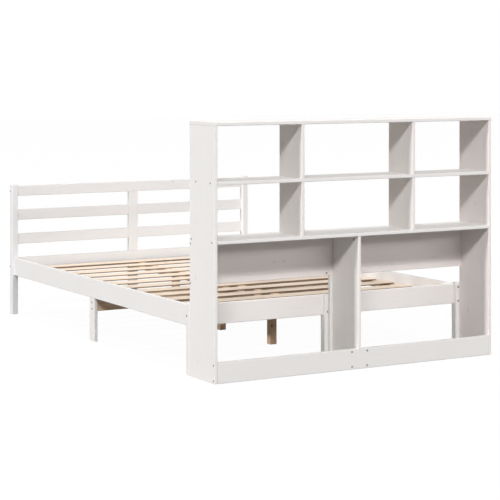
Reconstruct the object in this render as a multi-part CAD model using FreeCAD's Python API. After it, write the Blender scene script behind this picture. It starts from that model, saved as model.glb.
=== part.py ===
import FreeCAD, Part
import os

# A solid pine bed with a bookcase behind its head end. Millimetres, +Z up.
# X runs across the bed and Y along it: the bookcase is at +Y and the foot at -Y.
# "left" is +X. The origin is on the floor under the middle of the whole bed.

# ---- the mattress that the bed is made for ----
mattress_width = 1400.0
mattress_length = 2000.0
mattress_spare = 10.0        # spare length between the head legs and the foot posts

# ---- wood stock ----
case_board = 15.0            # shelves, dividers, side panels and top of the bookcase
plinth_board = 18.0
rail_board = 18.0            # side rails, cross rails, foot rails, stile, mid legs
post_size = 35.0             # square foot posts and head legs
beam_width = 35.0            # mid cross beam, centre beam and centre legs
edge_ease = 2.5              # rounding along the long edges of boards
post_ease = 5.0              # rounding along the posts
post_top_ease = 3.0
slat_ease = 2.0

# ---- bookcase ----
case_depth = 225.0
shelf_depth = 190.0          # upper shelf and the four short dividers
lower_shelf_top = 600.0
cubby_height = 235.0         # clear height of each of the two rows of cubbies
wide_bay = 570.0             # clear width of the middle cubbies
plinth_height = 90.0
back_board_height = 195.0
joint_half_width = 60.0      # joining boards reach this far each side of the centre
joint_edge_gap = 5.0         # joining boards stop short of the boards that they join
batten_width = 45.0

# ---- bed frame ----
rail_inset = 12.0            # side rails lie this far inside the posts' outer faces
rail_underside = 210.0
rail_height = 92.0
slat_drop = 50.0             # slat tops lie this far below the rail tops
cleat_height = 22.0
cleat_width = 24.0
mid_leg_width = 57.0
cross_beam_height = 78.0
centre_beam_notch = 14.0     # the centre beam is let this far into the cross beam
head_leg_rise = 10.0         # head legs stand this far above the rails
head_centre_leg_x = 23.5     # the head end's centre leg stands beside the centre line

# ---- foot end ----
foot_rail_height = 55.0
foot_gap = 74.0
foot_rail_count = 3
post_rise = 8.0
stile_width = 56.0

# ---- slats ----
slat_count = 13
slat_width = 90.0
slat_board = 6.0
slat_end_gap = 3.0           # between a slat's end and the side rail
slat_side_gap = 6.0          # between the end slats and the legs or posts

# ---- places that follow from these ----
rail_inner = mattress_width / 2
rail_outer = rail_inner + rail_board
half_width = rail_outer + rail_inset
clear_length = mattress_length + mattress_spare
length = case_depth + post_size + clear_length + post_size
case_front = length / 2
case_rear = case_front - case_depth
leg_rear = case_rear - post_size           # head legs' faces on the bed's side
post_front = leg_rear - clear_length       # foot posts' faces on the bed's side
post_rear = post_front - post_size
bed_middle = (leg_rear + post_front) / 2
post_inner = half_width - post_size
panel_inner = half_width - case_board
rail_top = rail_underside + rail_height
slat_under = rail_top - slat_drop - slat_board
cleat_under = slat_under - cleat_height    # the cleats rest on the cross beam's ends
upper_shelf_top = lower_shelf_top + cubby_height + case_board
case_height = upper_shelf_top + cubby_height + case_board
shelf_under = lower_shelf_top - case_board
back_front = case_rear + case_board        # back boards' faces on the room's side
back_under = shelf_under - back_board_height
divider_x = (wide_bay + case_board) / 2
foot_rail_face = post_rear + rail_board
leg_spacing = clear_length / 4

SIDES = (("left", 1), ("right", -1))
AXES = {"x": (1, 0, 0), "y": (0, 1, 0), "z": (0, 0, 1)}
pieces = {}


def span(centre, size):
    return (centre - size / 2, centre + size / 2)


def mirrored(side, low, high):
    return (low, high) if side > 0 else (-high, -low)


def block(x, y, z):
    """A plain box from three (low, high) pairs."""
    corner = FreeCAD.Vector(x[0], y[0], z[0])
    return Part.makeBox(x[1] - x[0], y[1] - y[0], z[1] - z[0], corner)


def edges_along(shape, axis):
    direction = FreeCAD.Vector(*AXES[axis])
    found = []
    for edge in shape.Edges:
        run = edge.Vertexes[-1].Point - edge.Vertexes[0].Point
        if run.Length > 0 and abs(abs(run.normalize().dot(direction)) - 1) < 1e-6:
            found.append(edge)
    return found


def board(x, y, z, grain, ease=edge_ease):
    """A board with its long edges rounded; grain is the axis that it runs along."""
    shape = block(x, y, z)
    thin = min(x[1] - x[0], y[1] - y[0], z[1] - z[0])
    return shape.makeFillet(min(ease, thin / 3), edges_along(shape, grain))


def post(x, y, height):
    """An upright with rounded corners and a softened top."""
    shape = board(x, y, (0, height), "z", post_ease)
    rim = [e for e in shape.Edges if all(abs(v.Z - height) < 1e-6 for v in e.Vertexes)]
    return shape.makeFillet(post_top_ease, rim)


# ---- bookcase ----
case_y = (case_rear, case_front)
shelf_y = (case_front - shelf_depth, case_front)
inside = (-panel_inner, panel_inner)
top_under = case_height - case_board

pieces["top_board"] = board((-half_width, half_width), case_y, (top_under, case_height), "x")
pieces["upper_shelf"] = board(inside, shelf_y, (upper_shelf_top - case_board, upper_shelf_top), "x")
pieces["lower_shelf"] = board(inside, case_y, (shelf_under, lower_shelf_top), "x")

for side, sign in SIDES:
    x = mirrored(sign, panel_inner, half_width)
    pieces["side_panel_" + side] = board(x, case_y, (0, top_under), "z")
    x = span(sign * divider_x, case_board)
    z = (upper_shelf_top, top_under)
    pieces["upper_divider_" + side] = board(x, shelf_y, z, "z")
    z = (lower_shelf_top, upper_shelf_top - case_board)
    pieces["middle_divider_" + side] = board(x, shelf_y, z, "z")
    x = mirrored(sign, 0, panel_inner)
    y = (case_front - plinth_board, case_front)
    pieces["plinth_" + side] = board(x, y, (0, plinth_height), "x")
    y = (case_rear, back_front)
    pieces["back_board_" + side] = board(x, y, (back_under, shelf_under), "x")

# The plinth and the back board are each made of two halves, which butt at the
# centre and are held by a joining board behind the butt.
joint_x = (-joint_half_width, joint_half_width)
plinth_rear = case_front - plinth_board
plinth_joint_rear = plinth_rear - case_board
pieces["plinth_joining_board"] = board(joint_x, (plinth_joint_rear, plinth_rear),
                                       (joint_edge_gap, plinth_height - joint_edge_gap), "x")
pieces["back_joining_board"] = board(joint_x, (case_rear - case_board, case_rear),
                                     (back_under + joint_edge_gap, shelf_under - joint_edge_gap), "x")
pieces["centre_batten"] = board(span(0, batten_width), (case_rear, back_front), (0, back_under), "z")

# The centre divider stands on the plinth in front and on the floor behind it.
divider = board(span(0, case_board), (back_front, case_front), (0, shelf_under), "z")
notch = block(span(0, 2 * case_board), (plinth_joint_rear, case_front + 1), (-1, plinth_height))
pieces["centre_divider"] = divider.cut(notch)

# ---- head end of the bed ----
leg_y = (leg_rear, case_rear)
head_rail_face = leg_rear + rail_board
rail_z = (rail_underside, rail_top)
pieces["head_cross_rail"] = board((-post_inner, post_inner), (leg_rear, head_rail_face), rail_z, "x")
x = span(head_centre_leg_x, post_size)
centre_leg = board(x, leg_y, (0, rail_top), "z", post_ease)
lap = block((x[0] - 1, x[1] + 1), (leg_rear - 1, head_rail_face), (rail_underside, rail_top + 1))
pieces["head_leg_centre"] = centre_leg.cut(lap)

# ---- sides ----
side_y = (post_front, leg_rear)
cleat_z = (cleat_under, slat_under)
for side, sign in SIDES:
    x = mirrored(sign, post_inner, half_width)
    pieces["head_leg_" + side] = post(x, leg_y, rail_top + head_leg_rise)
    x = mirrored(sign, rail_inner, rail_outer)
    pieces["side_rail_" + side] = board(x, side_y, rail_z, "y")
    y = span(bed_middle, mid_leg_width)
    pieces["mid_leg_" + side] = board(x, y, (0, rail_underside), "z")
    x = mirrored(sign, rail_inner - cleat_width, rail_inner)
    pieces["slat_cleat_" + side] = board(x, side_y, cleat_z, "y")

# ---- middle: the cross beam is notched for the centre beam ----
beam_under = cleat_under - centre_beam_notch
cross_under = cleat_under - cross_beam_height
beam_x = span(0, beam_width)
cross_y = span(bed_middle, beam_width)
cross = board((-rail_inner, rail_inner), cross_y, (cross_under, cleat_under), "x")
seat = block(beam_x, (cross_y[0] - 1, cross_y[1] + 1), (beam_under, cleat_under + 1))
pieces["mid_cross_beam"] = cross.cut(seat)
pieces["centre_beam"] = board(beam_x, (foot_rail_face, leg_rear), (beam_under, slat_under), "y")
for name, step, top in (("centre_leg_head_side", 1, beam_under),
                        ("centre_leg_middle", 0, cross_under),
                        ("centre_leg_foot_side", -1, beam_under)):
    y = span(bed_middle + step * leg_spacing, beam_width)
    pieces[name] = board(beam_x, y, (0, top), "z")

# ---- foot end: rails are flush with the outer faces of the posts ----
foot_y = (post_rear, foot_rail_face)
between_posts = (-post_inner, post_inner)
pieces["foot_cross_rail"] = board(between_posts, foot_y, rail_z, "x")
pieces["foot_centre_leg"] = board(span(0, stile_width), foot_y, (0, rail_underside), "z")
rail_step = foot_gap + foot_rail_height
foot_rails = []
for i in range(foot_rail_count):
    low = rail_top + foot_gap + i * rail_step
    foot_rails.append((low, low + foot_rail_height))
top_rail = foot_rails.pop()
post_height = top_rail[1] + post_rise
pieces["foot_top_rail"] = board(between_posts, foot_y, top_rail, "x")
pieces["foot_stile"] = board(span(0, stile_width), foot_y, (rail_top, top_rail[0]), "z")
for side, sign in SIDES:
    pieces["foot_post_" + side] = post(mirrored(sign, post_inner, half_width),
                                       (post_rear, post_front), post_height)
    x = mirrored(sign, stile_width / 2, post_inner)
    for level, z in zip(("lower", "upper"), foot_rails):
        pieces["foot_%s_rail_%s" % (level, side)] = board(x, foot_y, z, "x")

# ---- slats ----
slat_first = post_front + slat_side_gap + slat_width / 2
slat_last = leg_rear - slat_side_gap - slat_width / 2
slat_step = (slat_last - slat_first) / (slat_count - 1)
slat_x = (-rail_inner + slat_end_gap, rail_inner - slat_end_gap)
for i in range(slat_count):
    y = span(slat_first + i * slat_step, slat_width)
    z = (slat_under, slat_under + slat_board)
    pieces["slat_%02d" % (i + 1)] = board(slat_x, y, z, "x", slat_ease)

os.makedirs("parts", exist_ok=True)
for name, shape in pieces.items():
    if not shape.isValid():
        raise ValueError(name + " is not a valid shape")
    shape.exportStep("parts/%s.step" % name)
print(len(pieces), "pieces")
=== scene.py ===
import math
import random

import bmesh
import bpy
from mathutils import Matrix, Vector


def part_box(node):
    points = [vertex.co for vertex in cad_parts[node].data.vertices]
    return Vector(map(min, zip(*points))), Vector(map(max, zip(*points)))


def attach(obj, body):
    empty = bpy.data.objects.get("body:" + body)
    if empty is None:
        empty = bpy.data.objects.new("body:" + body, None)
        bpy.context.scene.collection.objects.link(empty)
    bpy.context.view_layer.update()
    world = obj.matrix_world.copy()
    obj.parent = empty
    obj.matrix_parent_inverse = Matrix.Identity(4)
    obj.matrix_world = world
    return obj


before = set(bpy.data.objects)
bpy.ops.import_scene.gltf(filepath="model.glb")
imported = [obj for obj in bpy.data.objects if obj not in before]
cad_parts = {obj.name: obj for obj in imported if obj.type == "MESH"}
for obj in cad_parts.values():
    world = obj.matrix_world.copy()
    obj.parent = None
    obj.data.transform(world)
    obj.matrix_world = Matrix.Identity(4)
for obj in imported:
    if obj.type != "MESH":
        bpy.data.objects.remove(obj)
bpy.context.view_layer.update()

# A pine bed with a bookcase behind its head end. Lengths are in metres. X runs across the bed
# with its left side at +X, Y along it with the bookcase at +Y, and Z up from the floor.
X, Y, Z = 0, 1, 2

# ---- colours, linear ----
PAINT = (0.790, 0.772, 0.758)
PAINT_LINE = (0.725, 0.694, 0.674)       # where the latewood shows through the paint
PAINT_KNOT = (0.610, 0.560, 0.520)
PAINT_THIN = (0.640, 0.610, 0.585)       # thin paint along the arrises
SLAT_PINE = (0.875, 0.757, 0.635)
SLAT_LINE = (0.735, 0.560, 0.405)
SLAT_EDGE_SHADE = (0.300, 0.195, 0.120)        # painted shade: the slats' edge faces are darkened for the shade between the slats
FRAME_PINE = (0.770, 0.555, 0.395)       # the beams, cleats and legs under the slats; browner than the slats, partly as painted shade under the bed
FRAME_LINE = (0.480, 0.290, 0.165)
PINE_KNOT = (0.200, 0.085, 0.035)
PINE_END = (0.560, 0.400, 0.270)
SEAM_SHADOW = (0.270, 0.255, 0.245)             # painted shadow: the dark line of the gap where one board lies on another
STEEL = (0.105, 0.098, 0.092)
STEEL_SCUFF = (0.240, 0.225, 0.210)
STEEL_DARK = (0.050, 0.047, 0.045)       # in the turning marks

# ---- boards that differ from the rest; a name that ends in _ stands for all that start so ----
NATURAL = ("slat_", "centre_beam", "mid_cross_beam", "centre_leg_")      # not painted
# knots that show: place along and across the grain in the object's frame, radius
KNOTS = {
    "back_board_left": ((0.3154, 0.4687, 0.0062), (0.2611, 0.4700, 0.0068)),
    "back_board_right": ((-0.5569, 0.4408, 0.0065), (-0.3182, 0.4222, 0.0055)),
    "side_panel_right": ((0.1875, 0.9959, 0.0080),),
    "centre_leg_head_side": ((0.0893, 0.0105, 0.0060),),
}
# what a board's colours are multiplied by: painted light and shade that make some boards warmer,
# cooler, brighter or darker than the rest, with a little of their own tone
TINTS_AND_PAINTED_LIGHT = {
    # warmer: a pink tone, and painted warm light bounced from the slats
    "back_board_": (1.030, 0.972, 0.956),
    "back_joining_board": (1.030, 0.972, 0.956),
    # painted light: these inner faces are warmer and brighter than the lamps make them
    "side_panel_right": (1.025, 0.985, 0.974),
    "centre_divider": (1.045, 1.030, 1.015),
    "upper_divider_": (1.010, 0.985, 0.970),
    "middle_divider_": (1.010, 0.985, 0.970),
    # painted shade: a little darker and warmer
    "head_cross_rail": (1.000, 0.980, 0.970),
    # painted light: cooler, which offsets the warm light bounced from the slats
    "foot_": (0.975, 0.990, 1.012),
    # painted light: the beams under the slats are brighter than their light makes them
    "mid_cross_beam": (1.160, 1.220, 1.280),
    "centre_beam": (1.100, 1.140, 1.180),
}
GRAIN = {"back_joining_board": X}        # the grain's axis where it isn't the longest side
SHADOWED_ENDS = ("top_board",)                  # a painted shadow line shows under these boards' ends

# ---- the log that a board is sawn from ----
LAMELLA = 0.068                          # wide boards have staves about this wide
GLUED_FROM = 0.120                       # boards wider than this are glued up
STAVE_SEEDS = (5, 95)                    # range of the number that picks a board's staves
STAVE_RUN = 7.0                          # a board's staves come from a log this long
LOG_RUN = (0, 20)                        # range of the board's place along its log
PITH_BESIDE = (-0.030, 0.0)              # range of the pith's place beside the middle
PITH_DEEP = (0.016, 0.050)               # range of its place below the middle
STAVE_BESIDE, STAVE_DEEP = 0.030, 0.040  # how far these two vary between staves
PITH_WANDER = 0.050                      # how much the pith strays along the log
RING_WIDTH = (0.0032, 0.0046)            # range of the rings' width
RING_RIPPLE = 0.0030                     # how wavy the rings are
# latewood over one ring, from 0 to 1, as (place, level)
RING_LATE = ((0.0, 0.16), (0.10, 0.0), (0.55, 0.22), (0.86, 1.0), (1.0, 0.16))

# ---- knots ----
KNOT_CELLS = 5.2                         # cells to the metre that may each hold a knot
KNOT_STRETCH = 0.8                       # below 1, so that cells are longer along the grain
KNOT_CHANCE = 0.62                       # the draw above which a cell holds one
KNOT_LARGEST, KNOT_SMALLEST = 0.044, 0.012                   # radii, in cells
LEAST_RADIUS = 0.0005                    # the least that a distance is divided by
KNOT_EDGE = (0.80, 1.10)                 # a knot fades out between these, in radii
PLACED_EDGE = (0.70, 1.15)
KNOT_RIM = ((0.36, 0.0), (0.50, 1.0), (0.60, 0.0))           # (place, level) over two radii
KNOT_SHORTEN = 0.75                      # below 1, so that knots are longer along the grain
PUSH_RINGS, PUSH_REACH = 3.4, 4.2        # rings that a knot pushes aside, reach in radii
STREAK_LEVEL, STREAK_REACH = 0.55, 0.060                     # the dark streak at a knot
STREAK_WIDTH = (0.10, 0.45)              # it fades out between these, in radii

# ---- edges: distance from the edge at which a feature starts, and where it is full ----
END_GRAIN = (0.0012, 0.0002)
ARRIS = (0.0034, 0.0004)
SLAT_SHADE_BAND = (0.0015, 0.0005)                  # painted shade on the slats' edges
SLAT_SHADE_SHARE = 0.90
SEAM_SHADOW_HALF = (0.0004, 0.0014)             # the painted seam shadow fades out between these, beside its line
SEAM_SHADOW_DEPTH = (0.0015, 0.0030)            # and between these, away from its face
SEAM_SHADOW_SHARE = 0.75

# How much of each feature shows, and in what colour: None is the board's own latewood.
# Then the roughness of early wood, of latewood and what the fibre adds, and the relief.
PAINTED = {
    "tone": (0.16, None), "fibre": (0.10, None), "streak": (0.34, PAINT_KNOT),
    "knot": (0.34, PAINT_KNOT), "rim": (0.26, PAINT_KNOT), "end": (0.30, PAINT_LINE),
    "rubbed": (0.60, PAINT_THIN),
    "rough": (0.50, 0.42, 0.10), "relief": 0.55, "depth": 0.00022, "specular": 0.42,
}
BARE = {
    "tone": (0.22, None), "fibre": (0.20, None), "streak": (0.80, PINE_KNOT),
    "knot": (0.80, PINE_KNOT), "rim": (0.70, PINE_KNOT), "end": (0.55, PINE_END),
    "rubbed": (0.22, None),
    "rough": (0.66, 0.54, 0.14), "relief": 0.75, "depth": 0.00030, "specular": 0.30,
}
BARE_LATE = 0.50                         # how much of the latewood shows on bare boards
PAINTED_LATE = (0.10, 0.34)              # and under paint, where the cover varies
COVER_RANGE = (0.35, 0.70)               # each noise's levels that count as none and as all
TONE_RANGE = (0.2, 0.8)
WEAR_RANGE = (0.26, 0.54)
HEIGHT_LATE, HEIGHT_FIBRE, HEIGHT_RIM = 0.55, 0.45, -0.8     # what the relief is made of


# ---- small helpers for node trees ----
def channels(colour):
    """A colour with its fourth channel, or the socket that gives it."""
    return colour if isinstance(colour, bpy.types.NodeSocket) else (*colour, 1.0)


class Tree:
    """Adds nodes to the tree of a material or world and links them in one call each."""

    def __init__(self, owner):
        owner.use_nodes = True
        self.tree = owner.node_tree
        self.tree.nodes.clear()

    def add(self, kind, inputs=(), **settings):
        node = self.tree.nodes.new(kind)
        for key, value in settings.items():
            setattr(node, key, value)
        pairs = inputs.items() if isinstance(inputs, dict) else enumerate(inputs)
        for key, value in pairs:
            if isinstance(value, bpy.types.NodeSocket):
                self.tree.links.new(value, node.inputs[key])
            else:
                node.inputs[key].default_value = value
        return node

    def math(self, operation, *values):
        return self.add("ShaderNodeMath", values, operation=operation).outputs[0]

    def vector(self, *values):
        return self.add("ShaderNodeCombineXYZ", values).outputs[0]

    def split(self, vector):
        return self.add("ShaderNodeSeparateXYZ", (vector,)).outputs

    def noise(self, vector, scale, detail, rough=0.5):
        node = self.add("ShaderNodeTexNoise", {"Vector": vector, "Scale": scale,
                                               "Detail": detail, "Roughness": rough})
        return node.outputs["Fac"]

    def drawn_out(self, run, across, thick, stretch, scale, detail, rough=0.5):
        """Noise that is drawn out along the grain; stretch is below 1."""
        place = self.vector(self.math("MULTIPLY", run, stretch), across, thick)
        return self.noise(place, scale, detail, rough)

    def swing(self, noise, amount):
        """Noise as a swing about 0."""
        return self.math("MULTIPLY", self.math("SUBTRACT", noise, 0.5), amount)

    def remap(self, value, low, high, to_low=0.0, to_high=1.0, smooth=True):
        kind = "SMOOTHSTEP" if smooth else "LINEAR"
        return self.add("ShaderNodeMapRange", (value, low, high, to_low, to_high),
                        interpolation_type=kind).outputs[0]

    def fade(self, value, full, gone):
        """1 up to full and 0 from gone on."""
        return self.remap(value, full, gone, 1.0, 0.0)

    def near_edge(self, offset, half, start, full):
        """0 until start short of the edge at half, and 1 from full short of it."""
        return self.remap(self.math("ABSOLUTE", offset), half - start, half - full)

    def mix(self, factor, first, second):
        return self.add("ShaderNodeMix", {0: factor, 6: channels(first), 7: channels(second)},
                        data_type="RGBA").outputs[2]

    def profile(self, value, stops):
        """A grey ramp through (position, level) stops."""
        node = self.add("ShaderNodeValToRGB", (value,))
        ramp = node.color_ramp
        while len(ramp.elements) < len(stops):
            ramp.elements.new(0.5)
        for element, (place, level) in zip(ramp.elements, stops):
            element.position = place
            element.color = (level, level, level, 1.0)
        return node.outputs[0]


# ---- wood ----
def board_axes(name, size):
    """Indices of the axes along the grain, across it and through the board."""
    order = sorted(range(3), key=lambda i: -size[i])
    if name in GRAIN:
        along = GRAIN[name]
        order = [along] + [i for i in order if i != along]
    return order


def board_colours(name, painted, slat):
    """The board's colour and its latewood's, with its tint, which carries painted light and
    shade.
    """
    if painted:
        pair = (PAINT, PAINT_LINE)
    elif slat:
        pair = (SLAT_PINE, SLAT_LINE)
    else:
        pair = (FRAME_PINE, FRAME_LINE)
    tint_and_light = next((TINTS_AND_PAINTED_LIGHT[start] for start in TINTS_AND_PAINTED_LIGHT if name.startswith(start)), (1, 1, 1))
    return [tuple(c * k for c, k in zip(colour, tint_and_light)) for colour in pair]


def staves(t, across, width, rng):
    """Three chances that differ between staves, and the place across the stave."""
    count = max(1, round(width / LAMELLA)) if width > GLUED_FROM else 1
    stave_width = width / count
    step = t.math("FLOOR", t.math("ADD", t.math("DIVIDE", across, stave_width), count / 2))
    seed = t.math("ADD", step, rng.uniform(*STAVE_SEEDS))
    chance = t.add("ShaderNodeTexWhiteNoise", {"W": seed}, noise_dimensions="1D")
    centre = t.math("MULTIPLY", t.math("ADD", step, 0.5 - count / 2), stave_width)
    return t.split(chance.outputs["Color"]), t.math("SUBTRACT", across, centre)


def chance_knots(t, run, across):
    """Sparse knots, only in the cells that chance picks: the knot, its rim and the rings
    that it pushes aside."""
    plane = t.vector(t.math("MULTIPLY", run, KNOT_STRETCH), across, 0.0)
    cells = t.add("ShaderNodeTexVoronoi",
                  {"Vector": plane, "Scale": KNOT_CELLS, "Randomness": 1.0},
                  voronoi_dimensions="2D", feature="F1")
    luck = t.split(cells.outputs["Color"])[0]
    radius = t.remap(luck, KNOT_CHANCE, 1.0, 0.0, KNOT_LARGEST, smooth=False)
    reach = t.math("DIVIDE", cells.outputs["Distance"], t.math("MAXIMUM", radius, LEAST_RADIUS))
    present = t.math("GREATER_THAN", radius, KNOT_SMALLEST)
    knot = t.math("MULTIPLY", t.fade(reach, *KNOT_EDGE), present)
    rim = t.math("MULTIPLY", t.profile(t.math("MULTIPLY", reach, 0.5), KNOT_RIM), present)
    push = t.math("MULTIPLY", t.remap(reach, 0.0, PUSH_REACH, PUSH_RINGS, 0.0), present)
    return knot, rim, push


def placed_knot(t, ahead, aside, radius):
    """One knot at a known place: the knot, the rings that it pushes aside and the dark
    streak that runs from it along the grain."""
    ahead = t.math("MULTIPLY", ahead, KNOT_SHORTEN)
    away = t.math("SQRT", t.math("ADD", t.math("MULTIPLY", aside, aside),
                                 t.math("MULTIPLY", ahead, ahead)))
    reach = t.math("DIVIDE", away, radius)
    knot = t.fade(reach, *PLACED_EDGE)
    push = t.remap(reach, 0.0, PUSH_REACH, PUSH_RINGS, 0.0)
    fade = t.remap(t.math("ABSOLUTE", ahead), radius, STREAK_REACH, STREAK_LEVEL, 0.0)
    dark = t.fade(t.math("ABSOLUTE", aside), *(radius * share for share in STREAK_WIDTH))
    return knot, push, t.math("MULTIPLY", dark, fade)


def growth_rings(t, run, local, thick, chance, push, rng):
    """Latewood, from 0 to 1, in rings about the pith."""
    # slow wander of the pith, then fine waviness of the rings
    slow = t.vector(run, t.math("MULTIPLY", local, 3.0), t.math("MULTIPLY", thick, 3.0))
    wander = t.swing(t.noise(slow, scale=1.3, detail=2.0), PITH_WANDER)
    ripple = t.swing(t.drawn_out(run, local, thick, stretch=0.16, scale=55.0, detail=3.0),
                     RING_RIPPLE)
    pith = t.math("MULTIPLY_ADD", chance[1], STAVE_BESIDE, rng.uniform(*PITH_BESIDE))
    beside = t.math("ADD", local, pith)
    pith = t.math("MULTIPLY_ADD", chance[2], STAVE_DEEP, rng.uniform(*PITH_DEEP))
    deep = t.math("ADD", t.math("ADD", thick, pith), wander)
    from_pith = t.math("SQRT", t.math("ADD", t.math("POWER", t.math("ABSOLUTE", beside), 2.0),
                                      t.math("POWER", t.math("ABSOLUTE", deep), 2.0)))
    from_pith = t.math("ADD", from_pith, ripple)
    rings = t.math("DIVIDE", from_pith, rng.uniform(*RING_WIDTH))
    return t.profile(t.math("FRACT", t.math("ADD", rings, push)), RING_LATE)


def seam_shadow_line(t, parts, height, face):
    """1 on a hair-wide level line of an end face, where the board lies on its neighbour: where
    the painted shadow line goes.
    """
    beside = t.math("ABSOLUTE", t.math("SUBTRACT", parts[Z], height))
    away = t.math("ABSOLUTE", t.math("SUBTRACT", parts[X], face))
    return t.math("MULTIPLY", t.fade(beside, *SEAM_SHADOW_HALF), t.fade(away, *SEAM_SHADOW_DEPTH))


def wood(name, low, high, painted):
    """Sawn pine as a solid texture: growth rings about a pith beside the board, knots that
    push the rings aside, staves in wide boards, and paint over it on the white boards."""
    rng = random.Random("pine " + name)
    size = [high[i] - low[i] for i in range(3)]
    middle = [(high[i] + low[i]) / 2 for i in range(3)]
    axes = board_axes(name, size)
    length, width, depth = (size[i] for i in axes)
    material = bpy.data.materials.new(("painted_" if painted else "bare_") + name)
    t = Tree(material)
    place = t.add("ShaderNodeTexCoord").outputs["Object"]
    parts = t.split(place)
    along, across, thick = (t.math("SUBTRACT", parts[i], middle[i]) for i in axes)

    # each stave has its own piece of log
    chance, local = staves(t, across, width, rng)
    far = t.math("MULTIPLY_ADD", chance[0], STAVE_RUN, rng.uniform(*LOG_RUN))
    run = t.math("ADD", along, far)

    knot, rim, push = chance_knots(t, run, t.math("ADD", across, chance[1]))
    streak = 0.0
    for at, beside, radius in KNOTS.get(name, ()):
        ahead = t.math("SUBTRACT", along, at - middle[axes[0]])
        aside = t.math("SUBTRACT", across, beside - middle[axes[1]])
        one_knot, one_push, one_streak = placed_knot(t, ahead, aside, radius)
        knot = t.math("MAXIMUM", knot, one_knot)
        push = t.math("ADD", push, one_push)
        streak = t.math("MAXIMUM", streak, one_streak)

    late = growth_rings(t, run, local, thick, chance, push, rng)
    fibre = t.drawn_out(run, across, thick, stretch=0.035, scale=900.0, detail=3.0, rough=0.6)
    patch = t.drawn_out(run, across, thick, stretch=0.5, scale=9.0, detail=2.0)
    # half of the tone is the stave's own and half wanders over the board
    tone = t.math("ADD", t.math("MULTIPLY", chance[2], 0.5), t.math("MULTIPLY", patch, 0.5))

    # ends and arrises, from the distance to the board's own box
    end = t.near_edge(along, length / 2, *END_GRAIN)
    rubbed = t.math("MULTIPLY", t.near_edge(across, width / 2, *ARRIS),
                    t.near_edge(thick, depth / 2, *ARRIS))
    wear = t.remap(t.noise(place, scale=60.0, detail=3.0), *WEAR_RANGE)
    rubbed = t.math("MULTIPLY", rubbed, wear)

    slat = name.startswith("slat_") and not name.startswith("slat_cleat")
    base, line = board_colours(name, painted, slat)
    finish = PAINTED if painted else BARE
    shown = t.remap(patch, *COVER_RANGE, *PAINTED_LATE) if painted else BARE_LATE
    colour = t.mix(t.math("MULTIPLY", late, shown), base, line)
    for feature, mask in (("tone", t.remap(tone, *TONE_RANGE)), ("fibre", fibre),
                          ("streak", streak), ("knot", knot), ("rim", rim),
                          ("end", end), ("rubbed", rubbed)):
        share, other = finish[feature]
        colour = t.mix(t.math("MULTIPLY", mask, share), colour, other or line)
    # painted shadow: a dark line in the gap under the top board's ends
    if name in SHADOWED_ENDS:
        for face in (high[X], low[X]):
            seam_shadow = t.math("MULTIPLY", seam_shadow_line(t, parts, low[Z], face), SEAM_SHADOW_SHARE)
            colour = t.mix(seam_shadow, colour, SEAM_SHADOW)
    # painted shade: the slats' long edge faces are darkened, as in the shade between slats
    if slat:
        edge_shade = t.near_edge(across, width / 2, *SLAT_SHADE_BAND)
        colour = t.mix(t.math("MULTIPLY", edge_shade, SLAT_SHADE_SHARE), colour, SLAT_EDGE_SHADE)

    early_rough, late_rough, fibre_rough = finish["rough"]
    rough = t.remap(late, 0.0, 1.0, early_rough, late_rough)
    rough = t.math("MULTIPLY_ADD", fibre, fibre_rough, rough)
    height = t.math("ADD", t.math("MULTIPLY", late, HEIGHT_LATE),
                    t.math("MULTIPLY", fibre, HEIGHT_FIBRE))
    height = t.math("ADD", height, t.math("MULTIPLY", rim, HEIGHT_RIM))
    bump = t.add("ShaderNodeBump", {"Strength": finish["relief"], "Distance": finish["depth"],
                                    "Height": height})
    shader = t.add("ShaderNodeBsdfPrincipled", {
        "Base Color": colour, "Roughness": rough, "Normal": bump.outputs[0],
        "Specular IOR Level": finish["specular"]})
    t.add("ShaderNodeOutputMaterial", (shader.outputs[0],))
    return material


for name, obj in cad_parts.items():
    material = wood(name, *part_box(name), not name.startswith(NATURAL))
    for slot in obj.material_slots:
        slot.material = material


# ---- screws, joining bolts and cams ----
def steel():
    """Dark plated steel with fine turning marks and handling scuffs."""
    material = bpy.data.materials.new("dark_steel")
    t = Tree(material)
    place = t.add("ShaderNodeTexCoord").outputs["Object"]
    marks = t.noise(place, scale=2600.0, detail=3.0, rough=0.6)
    scuffs = t.remap(t.noise(place, scale=420.0, detail=3.0, rough=0.6), 0.52, 0.68)
    colour = t.mix(scuffs, STEEL, STEEL_SCUFF)
    colour = t.mix(t.math("MULTIPLY", marks, 0.3), colour, STEEL_DARK)
    rough = t.remap(marks, 0.2, 0.8, 0.34, 0.55)
    bump = t.add("ShaderNodeBump", {"Strength": 0.4, "Distance": 0.00005, "Height": marks})
    shader = t.add("ShaderNodeBsdfPrincipled", {
        "Base Color": colour, "Roughness": rough, "Metallic": 0.85, "Normal": bump.outputs[0]})
    t.add("ShaderNodeOutputMaterial", (shader.outputs[0],))
    return material


SIDES = 24                               # of a head's outline; a multiple of 6
HEAD_SUNK = 0.0010                       # a head reaches this far into the wood
HEAD_PROUD = 0.0005                      # and stands this far out of it
SOCKET = 0.48                            # the socket's share of the head's radius
SOCKET_CHAMFER = 0.0002
SOCKET_DEPTH = 0.0013
SMOOTH_TO = math.radians(40)             # edges sharper than this stay sharp


def circle(radius, height):
    turn = 2 * math.pi / SIDES
    return [Vector((radius * math.cos(i * turn), radius * math.sin(i * turn), height))
            for i in range(SIDES)]


def hexagon(radius, height):
    turn = math.pi / 3
    corners = [Vector((radius * math.cos(turn * i), radius * math.sin(turn * i), height))
               for i in range(7)]
    share = SIDES // 6
    return [corners[i // share].lerp(corners[i // share + 1], (i % share) / share)
            for i in range(SIDES)]


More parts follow.
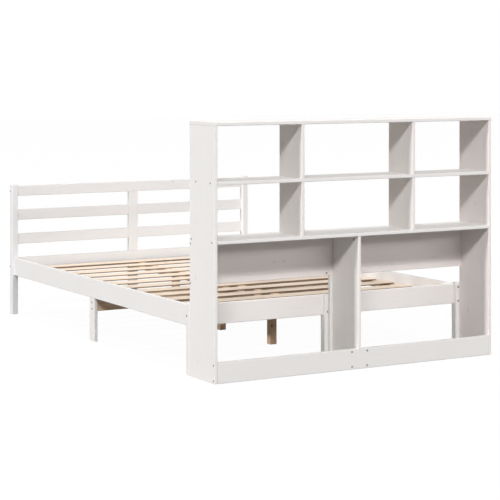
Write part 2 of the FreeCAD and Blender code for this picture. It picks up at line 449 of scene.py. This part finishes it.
def socket_head(bm, place, direction, radius):
    """A round head with a softened rim and a hexagon socket, set into the wood."""
    # outlines from the rim that is sunk in the wood to the bottom of the socket
    top, bottom = HEAD_PROUD, HEAD_PROUD - SOCKET_DEPTH
    loops = [circle(radius, -HEAD_SUNK), circle(radius, top * 0.35),
             circle(radius * 0.97, top * 0.80), circle(radius * 0.91, top),
             hexagon(radius * (SOCKET + 0.05), top),
             hexagon(radius * SOCKET, top - SOCKET_CHAMFER),
             hexagon(radius * SOCKET, bottom),
             hexagon(radius * SOCKET * 0.45, bottom - 0.0003)]
    turn = Vector((0, 0, 1)).rotation_difference(Vector(direction)).to_matrix().to_4x4()
    matrix = Matrix.Translation(place) @ turn
    rings = [[bm.verts.new(matrix @ point) for point in loop] for loop in loops]
    for lower, upper in zip(rings, rings[1:]):
        for i in range(SIDES):
            j = (i + 1) % SIDES
            bm.faces.new((lower[i], lower[j], upper[j], upper[i]))
    bm.faces.new(rings[-1])


def fasteners(name, material, heads):
    """One piece of all these heads, each given as its place, direction and radius."""
    bm = bmesh.new()
    for place, direction, radius in heads:
        socket_head(bm, Vector(place), direction, radius)
    mesh = bpy.data.meshes.new(name)
    bm.to_mesh(mesh)
    bm.free()
    mesh.materials.append(material)
    mesh.polygons.foreach_set("use_smooth", [True] * len(mesh.polygons))
    mesh.set_sharp_from_angle(angle=SMOOTH_TO)
    obj = bpy.data.objects.new(name, mesh)
    bpy.context.scene.collection.objects.link(obj)
    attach(obj, "root")


def low_high(name, axis):
    low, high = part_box(name)
    return low[axis], high[axis]


def middle_of(name, axis):
    return sum(low_high(name, axis)) / 2


case_rear, case_front = low_high("side_panel_left", Y)
outer = low_high("side_panel_left", X)[1]
shelf_rear = low_high("upper_shelf", Y)[0]
back_front = low_high("back_board_left", Y)[1]
plinth = low_high("plinth_left", Z)
plinth_y = middle_of("plinth_left", Y)
back = low_high("back_board_left", Z)
back_y = middle_of("back_board_left", Y)
upper_z = middle_of("upper_shelf", Z)
lower_z = middle_of("lower_shelf", Z)
rail_x = middle_of("side_rail_left", X)
rail_z = middle_of("side_rail_left", Z)
head_y = middle_of("head_cross_rail", Y)
foot_y = middle_of("foot_top_rail", Y)
top_rail_z = middle_of("foot_top_rail", Z)
foot_rear = low_high("foot_post_left", Y)[0]
mid_x = low_high("mid_leg_left", X)[1]
mid_y = middle_of("mid_leg_left", Y)

CASE_HEAD, FRAME_HEAD, CAM_HEAD = 0.0044, 0.0050, 0.0060     # radii
EDGE_IN = 0.0125                         # heads from the edges of plinth and back board
UPPER_IN = (0.038, 0.022)                # upper shelf's screws from its front and rear
LOWER_IN = (0.024, 0.015)                # and the lower shelf's
BOLT_X = 0.040                           # joining bolts from the centre line
RAIL_SCREW = 0.0325                      # a side rail's screws from its middle
MID_LEG_SCREWS = (0.158, 0.188)
LEG_SCREW_UP = 0.016                     # the centre leg's screw above the rail's underside
CAM_DOWN = 0.016                         # cams below the lower shelf
CAM_IN = (0.036, 0.040)                  # and from the centre divider's front and rear

case_heads, bolt_heads, frame_heads = [], [], []
for sign in (1, -1):
    out = (sign, 0, 0)
    for y, z in ((case_front - UPPER_IN[0], upper_z), (shelf_rear + UPPER_IN[1], upper_z),
                 (case_front - LOWER_IN[0], lower_z), (case_rear + LOWER_IN[1], lower_z),
                 (plinth_y, plinth[0] + EDGE_IN), (plinth_y, plinth[1] - EDGE_IN),
                 (back_y, back[0] + EDGE_IN), (back_y, back[1] - EDGE_IN)):
        case_heads.append(((sign * outer, y, z), out, CASE_HEAD))
    for y, ends in ((case_front, plinth), (back_front, back)):
        for z in (ends[0] + EDGE_IN, ends[1] - EDGE_IN):
            bolt_heads.append(((sign * BOLT_X, y, z), (0, 1, 0), CASE_HEAD))
    for y, z in ((foot_y, top_rail_z), (foot_y, rail_z), (head_y, rail_z)):
        frame_heads.append(((sign * outer, y, z), out, FRAME_HEAD))
    for z in (rail_z - RAIL_SCREW, rail_z + RAIL_SCREW):
        frame_heads.append(((sign * rail_x, case_rear, z), (0, 1, 0), FRAME_HEAD))
        frame_heads.append(((sign * rail_x, foot_rear, z), (0, -1, 0), FRAME_HEAD))
    for z in MID_LEG_SCREWS:
        frame_heads.append(((sign * mid_x, mid_y, z), out, FRAME_HEAD))
leg_place = (middle_of("head_leg_centre", X), case_rear,
             low_high("side_rail_left", Z)[0] + LEG_SCREW_UP)
frame_heads.append((leg_place, (0, 1, 0), FRAME_HEAD))
cam_x = low_high("centre_divider", X)[1]
cam_z = low_high("lower_shelf", Z)[0] - CAM_DOWN
cam_heads = [((cam_x, y, cam_z), (1, 0, 0), CAM_HEAD)
             for y in (case_front - CAM_IN[0], back_front + CAM_IN[1])]

dark = steel()
fasteners("case_screws", dark, case_heads)
fasteners("joining_bolts", dark, bolt_heads)
fasteners("frame_screws", dark, frame_heads)
fasteners("cam_locks", dark, cam_heads)

# ---- floor and world ----
FLOOR_GREY = (0.20, 0.20, 0.20)          # what the object sees of the floor
FLOOR_SEEN = (0.95, 0.95, 0.95)          # what the camera and gloss see of it
FLOOR_GLOW = 0.96                        # share of its own light in that
FLOOR_REACH = 30
FLOOR_DROP = 0.0004                      # the floor lies this far under the feet
AMBIENT = 0.15                           # the world's light on the object


def camera_or_mirror(t):
    """1 for rays that show the background: from the camera, or off gloss."""
    path = t.add("ShaderNodeLightPath").outputs
    seen = t.math("MAXIMUM", path["Is Camera Ray"], path["Is Glossy Ray"])
    return t.math("MAXIMUM", seen, path["Is Transmission Ray"])


def white_floor():
    material = bpy.data.materials.new("floor_white")
    t = Tree(material)
    seen = camera_or_mirror(t)
    matt = t.add("ShaderNodeBsdfDiffuse", {"Color": t.mix(seen, FLOOR_GREY, FLOOR_SEEN)})
    glow = t.add("ShaderNodeEmission", {"Color": (1, 1, 1, 1), "Strength": 1.0})
    share = t.math("MULTIPLY", seen, FLOOR_GLOW)
    blend = t.add("ShaderNodeMixShader", (share, matt.outputs[0], glow.outputs[0]))
    t.add("ShaderNodeOutputMaterial", (blend.outputs[0],))
    return material


corners = [(x * FLOOR_REACH, y * FLOOR_REACH, 0) for x, y in ((-1, -1), (1, -1), (1, 1), (-1, 1))]
mesh = bpy.data.meshes.new("floor")
mesh.from_pydata(corners, [], [(0, 1, 2, 3)])
mesh.materials.append(white_floor())
floor = bpy.data.objects.new("floor", mesh)
bpy.context.scene.collection.objects.link(floor)
floor.location.z = -FLOOR_DROP

world = bpy.data.worlds.new("studio")
bpy.context.scene.world = world
t = Tree(world)
level = t.remap(camera_or_mirror(t), 0.0, 1.0, AMBIENT, 1.0, smooth=False)
sky = t.add("ShaderNodeBackground", {"Color": (1.0, 1.0, 1.0, 1.0), "Strength": level})
t.add("ShaderNodeOutputWorld", (sky.outputs[0],))

# ---- lamps ----
STRIP_HEIGHT = 0.8
STRIP_DISTANCE = 30.0


def sun(name, towards, strength, softness):
    """A far lamp; towards points from the object to the lamp, softness is in degrees."""
    data = bpy.data.lights.new(name, "SUN")
    data.energy = strength
    data.angle = math.radians(softness)
    obj = bpy.data.objects.new(name, data)
    bpy.context.scene.collection.objects.link(obj)
    obj.rotation_euler = Vector(towards).to_track_quat("Z", "Y").to_euler()


def strip(name, slope, x, width, strength):
    """A strip lamp beyond the bookcase, long side along X, whose light falls at one slope
    everywhere. Its strength is measured at the object, as a sun's is."""
    data = bpy.data.lights.new(name, "AREA")
    data.shape = "RECTANGLE"
    data.size, data.size_y = width, STRIP_HEIGHT
    place = Vector((x, STRIP_DISTANCE, slope * STRIP_DISTANCE))
    data.energy = strength * math.pi * place.length_squared
    obj = bpy.data.objects.new(name, data)
    bpy.context.scene.collection.objects.link(obj)
    obj.location = place
    obj.rotation_euler = place.to_track_quat("Z", "Y").to_euler()


sun("side", towards=(1.0, 0.03, 0.25), strength=1.75, softness=3.0)
sun("over", towards=(0.05, -0.10, 1.0), strength=1.28, softness=20.0)
sun("behind", towards=(0.0, -1.0, 0.010), strength=1.30, softness=1.0)
sun("far_side", towards=(-1.0, -0.10, 0.010), strength=1.00, softness=1.0)
strip("key", slope=0.80, x=20.0, width=16.0, strength=1.75)
strip("key_wide", slope=0.80, x=4.0, width=20.0, strength=0.58)
strip("low", slope=0.33, x=-14.0, width=36.0, strength=0.86)

# ---- camera ----
camera_data = bpy.data.cameras.new("camera")
camera_data.sensor_width = 36.0
camera_data.lens = 120.43
camera_data.shift_y = -0.37181
camera_data.clip_end = 100.0
camera = bpy.data.objects.new("camera", camera_data)
bpy.context.scene.collection.objects.link(camera)
camera.location = (4.09473, 7.31784, 1.34557)
camera.rotation_euler = (math.radians(90), 0, math.radians(150.162))
bpy.context.scene.camera = camera

bpy.context.scene.view_settings.view_transform = "Standard"
